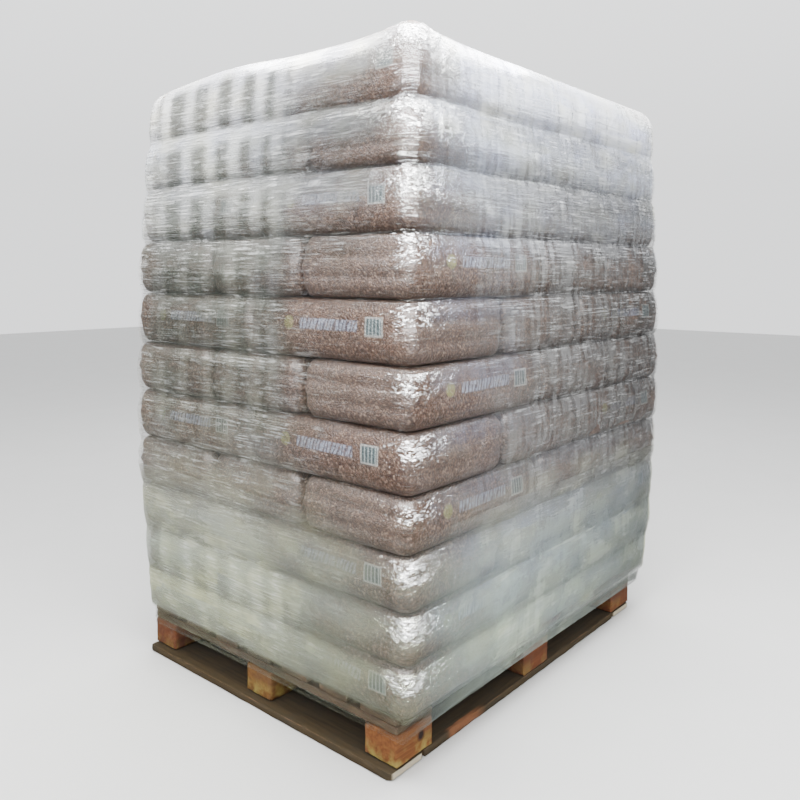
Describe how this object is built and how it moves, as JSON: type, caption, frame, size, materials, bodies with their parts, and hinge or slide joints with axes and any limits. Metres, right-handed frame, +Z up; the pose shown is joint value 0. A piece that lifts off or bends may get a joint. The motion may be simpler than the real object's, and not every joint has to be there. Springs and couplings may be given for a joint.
{
  "type": "pallet of sacks",
  "caption": "Stretch-wrapped stack of filled plastic sacks in layers on a four-way wooden block pallet.",
  "frame": {"origin": "under the middle of the load, at floor level", "axes": "+Z up; X along the long side of the pallet, Y along its short side"},
  "size_m": [1.3252, 1.1252, 1.728],
  "materials": {
    "block_wood": "rough sawn, weathered",
    "bottom_wood": "rough sawn, dirty and worn",
    "deck_wood": "rough sawn",
    "sack_plastic": "clear film over brown pellets",
    "stretch_film": "clear, wrinkled"
  },
  "bodies": {
    "root": {"block_left_front": "block_wood", "block_left_middle": "block_wood", "block_left_back": "block_wood", "block_middle_front": "block_wood", "block_middle_middle": "block_wood", "block_middle_back": "block_wood", "block_right_front": "block_wood", "block_right_middle": "block_wood", "block_right_back": "block_wood", "bottom_end_board_left": "bottom_wood", "bottom_end_board_right": "bottom_wood", "bottom_board_front": "bottom_wood", "bottom_board_middle": "bottom_wood", "bottom_board_back": "bottom_wood", "cross_board_left": "deck_wood", "cross_board_middle": "deck_wood", "cross_board_right": "deck_wood", "deck_board_1": "deck_wood", "deck_board_2": "deck_wood", "deck_board_3": "deck_wood", "deck_board_4": "deck_wood", "deck_board_5": "deck_wood", "deck_board_6": "deck_wood", "deck_board_7": "deck_wood", "sack_layer_01": "sack_plastic", "sack_layer_02": "sack_plastic", "sack_layer_03": "sack_plastic", "sack_layer_04": "sack_plastic", "sack_layer_05": "sack_plastic", "sack_layer_06": "sack_plastic", "sack_layer_07": "sack_plastic", "sack_layer_08": "sack_plastic", "sack_layer_09": "sack_plastic", "sack_layer_10": "sack_plastic", "sack_layer_11": "sack_plastic", "stretch_film": "stretch_film"}
  },
  "joints": []
}
